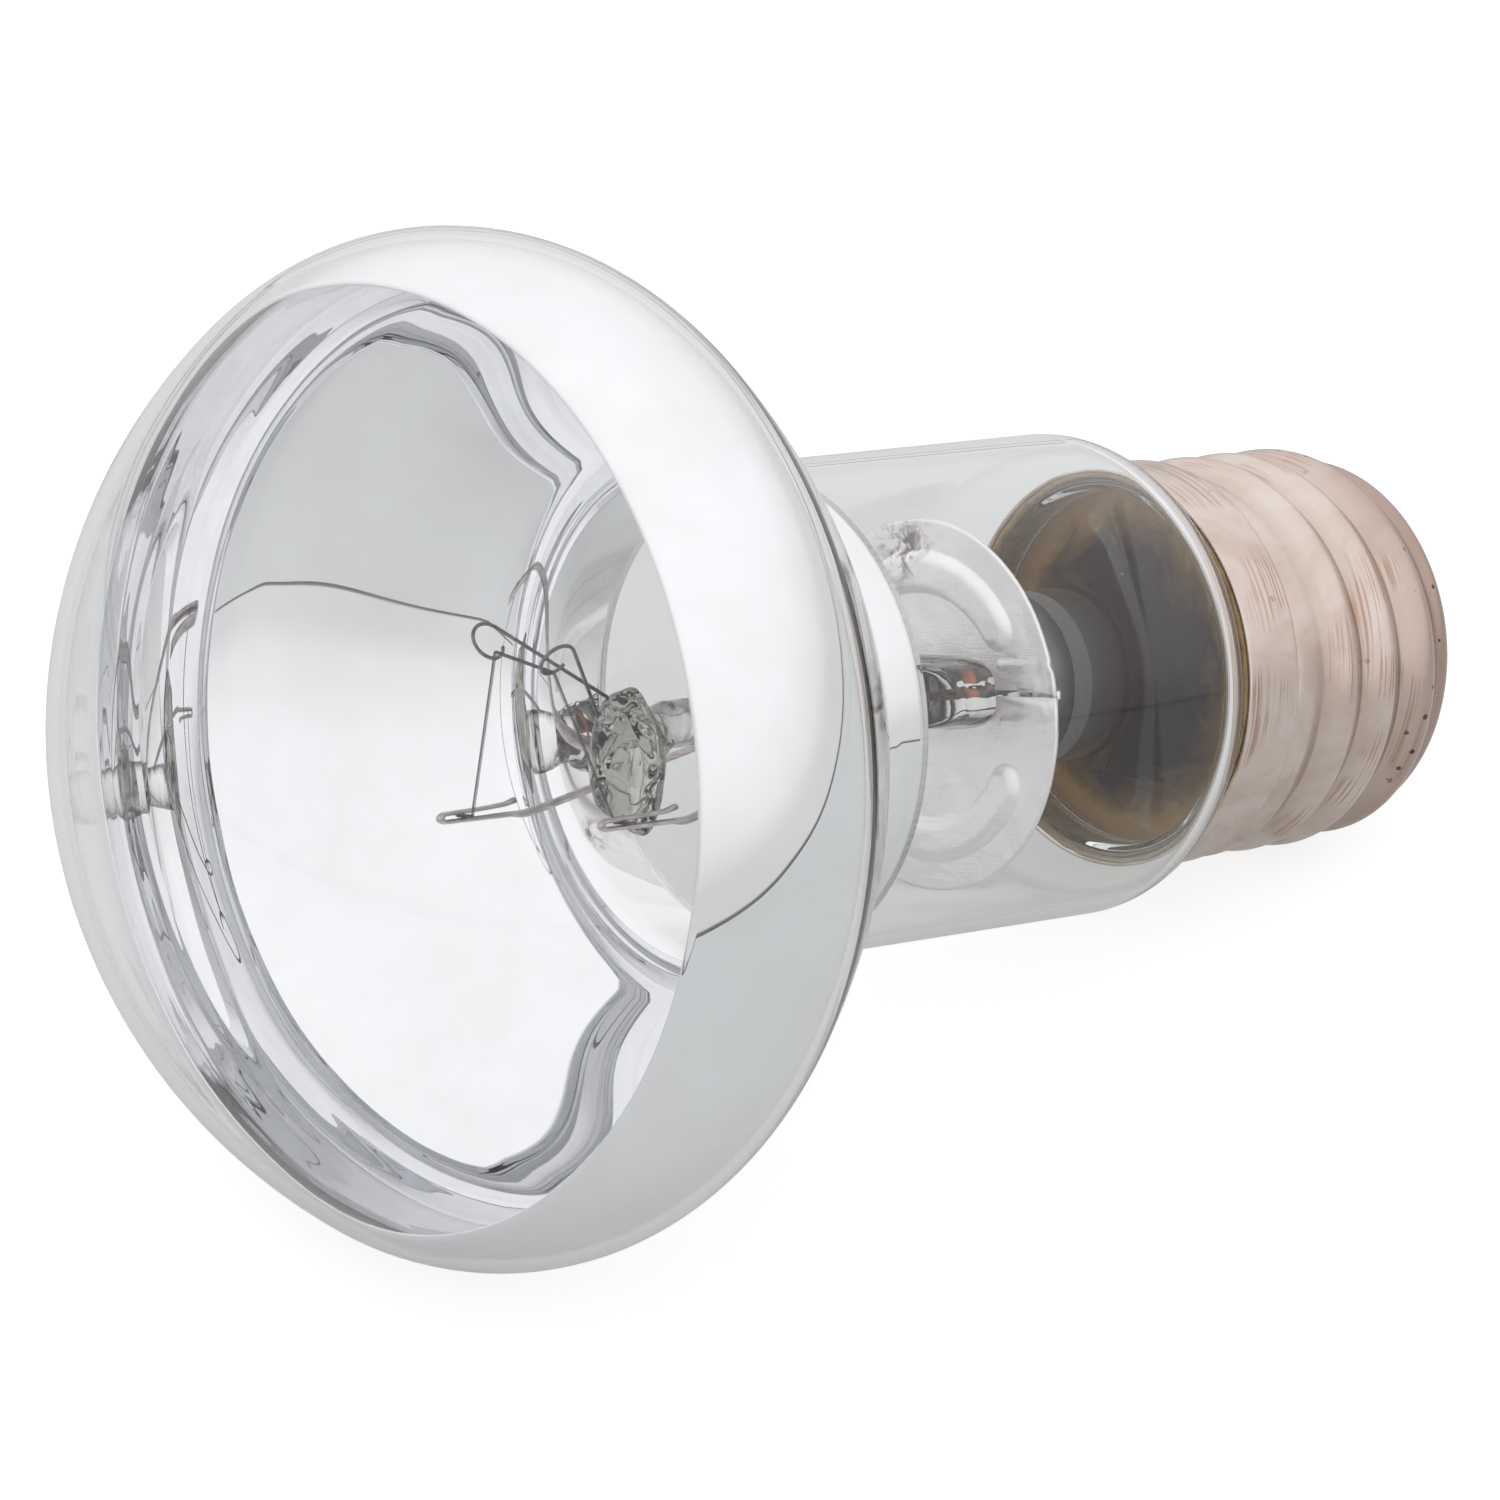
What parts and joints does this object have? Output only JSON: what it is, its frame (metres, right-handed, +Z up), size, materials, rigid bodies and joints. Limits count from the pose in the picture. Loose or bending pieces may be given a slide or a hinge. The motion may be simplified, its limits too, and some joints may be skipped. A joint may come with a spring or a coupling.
{
  "type": "basking spot lamp",
  "caption": "Reflector spot lamp with a clear domed face, a mirror-coated bowl, a clear neck with a heat shield and glass stem, a hairpin filament and a threaded screw cap.",
  "frame": {"origin": "on the surface that the lamp lies on, under the middle of its box", "axes": "+Z up; the lamp's axis lies in the XZ plane, with the cap towards +X and the face towards -X; the axis rises about 15 degrees towards the face, because the lamp lies on its rim and its cap"},
  "size_m": [0.1018, 0.0634, 0.062],
  "materials": {
    "clear_glass": "clear, blown",
    "mirror_film": "silvery vapour coating",
    "stem_glass": "clear, pressed and drawn",
    "shield_sheet": "matt, stamped",
    "lead_wire": "nickel, satin",
    "copper_wire": "copper-clad, oxidised",
    "support_wire": "bare molybdenum",
    "tungsten": "bare, finely coiled",
    "cap_metal": "nickel-plated, bright, warm in tint",
    "insulator_glass": "black, pressed",
    "cement": "baked resin cement",
    "contact_metal": "bare",
    "solder": "dull solder"
  },
  "bodies": {
    "root": {"glass_bulb": "clear_glass", "mirror_film": "mirror_film", "glass_stem": "stem_glass", "heat_shield": "shield_sheet", "lead_near": "lead_wire", "lead_far": "lead_wire", "seal_near": "copper_wire", "seal_far": "copper_wire", "support_near": "support_wire", "support_far": "support_wire", "filament": "tungsten", "centre_lead": "copper_wire", "side_lead": "copper_wire", "cap_shell": "cap_metal", "cap_insulator": "insulator_glass", "cap_cement": "cement", "end_contact": "contact_metal", "contact_solder": "solder", "skirt_solder": "solder"}
  },
  "joints": []
}
